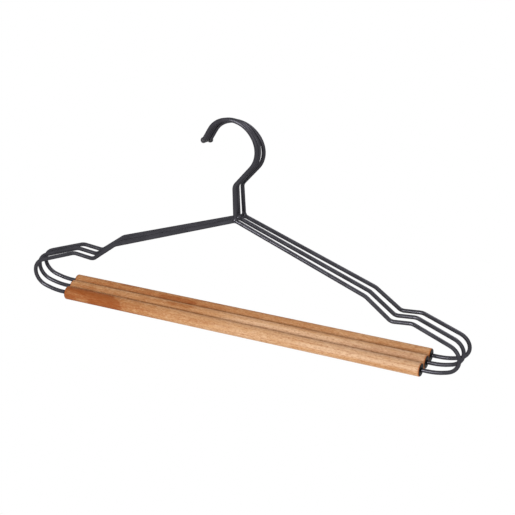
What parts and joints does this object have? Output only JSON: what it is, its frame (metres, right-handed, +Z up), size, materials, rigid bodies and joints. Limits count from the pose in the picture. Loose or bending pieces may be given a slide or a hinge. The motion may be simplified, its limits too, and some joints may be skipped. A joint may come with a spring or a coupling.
{
  "type": "trouser hanger",
  "caption": "Bent wire trouser hangers nested on a rail, each with a round hook, a notch in each shoulder and a turning wooden bar that holds folded trousers.",
  "frame": {"origin": "where the inside of the middle hook rests on top of the wardrobe rail, on the wire's plane", "axes": "+X along the wooden bars to the right as the hangers are seen from the front, +Y along the rail from the front hanger to the rear one, +Z up"},
  "size_m": [0.4412, 0.0502, 0.2307],
  "materials": {
    "wire_coat": "satin black dip coat over steel wire",
    "bead_plastic": "satin black, moulded",
    "bar_wood": "oiled, warm orange brown, fine grain along the bar",
    "cap_plastic": "satin black, moulded"
  },
  "bodies": {
    "middle_hanger": {"middle_frame_wire": "wire_coat", "middle_hook_wire": "wire_coat", "middle_hook_bead": "bead_plastic"},
    "middle_bar": {"middle_wooden_bar": "bar_wood", "middle_left_end_cap": "cap_plastic", "middle_right_end_cap": "cap_plastic"},
    "front_hanger": {"front_frame_wire": "wire_coat", "front_hook_wire": "wire_coat", "front_hook_bead": "bead_plastic"},
    "front_bar": {"front_wooden_bar": "bar_wood", "front_left_end_cap": "cap_plastic", "front_right_end_cap": "cap_plastic"},
    "rear_hanger": {"rear_frame_wire": "wire_coat", "rear_hook_wire": "wire_coat", "rear_hook_bead": "bead_plastic"},
    "rear_bar": {"rear_wooden_bar": "bar_wood", "rear_left_end_cap": "cap_plastic", "rear_right_end_cap": "cap_plastic"}
  },
  "joints": [
    {"name": "front_hanger_slide", "type": "slide", "parent": "middle_hanger", "child": "front_hanger", "axis": [0, -1, 0], "range_m": [0, 0.12]},
    {"name": "rear_hanger_slide", "type": "slide", "parent": "middle_hanger", "child": "rear_hanger", "axis": [0, 1, 0], "range_m": [0, 0.12]},
    {"name": "middle_bar_spin", "type": "hinge", "parent": "middle_hanger", "child": "middle_bar", "pos_m": [0.00194, 0, -0.21371], "axis": [1, 0, 0], "continuous": true},
    {"name": "front_bar_spin", "type": "hinge", "parent": "front_hanger", "child": "front_bar", "pos_m": [0.00329, -0.01628, -0.21096], "axis": [0.9998, -0.0162, 0.0082], "continuous": true},
    {"name": "rear_bar_spin", "type": "hinge", "parent": "rear_hanger", "child": "rear_bar", "pos_m": [0.0003, 0.01564, -0.21668], "axis": [0.9999, 0.0138, -0.008], "continuous": true}
  ]
}
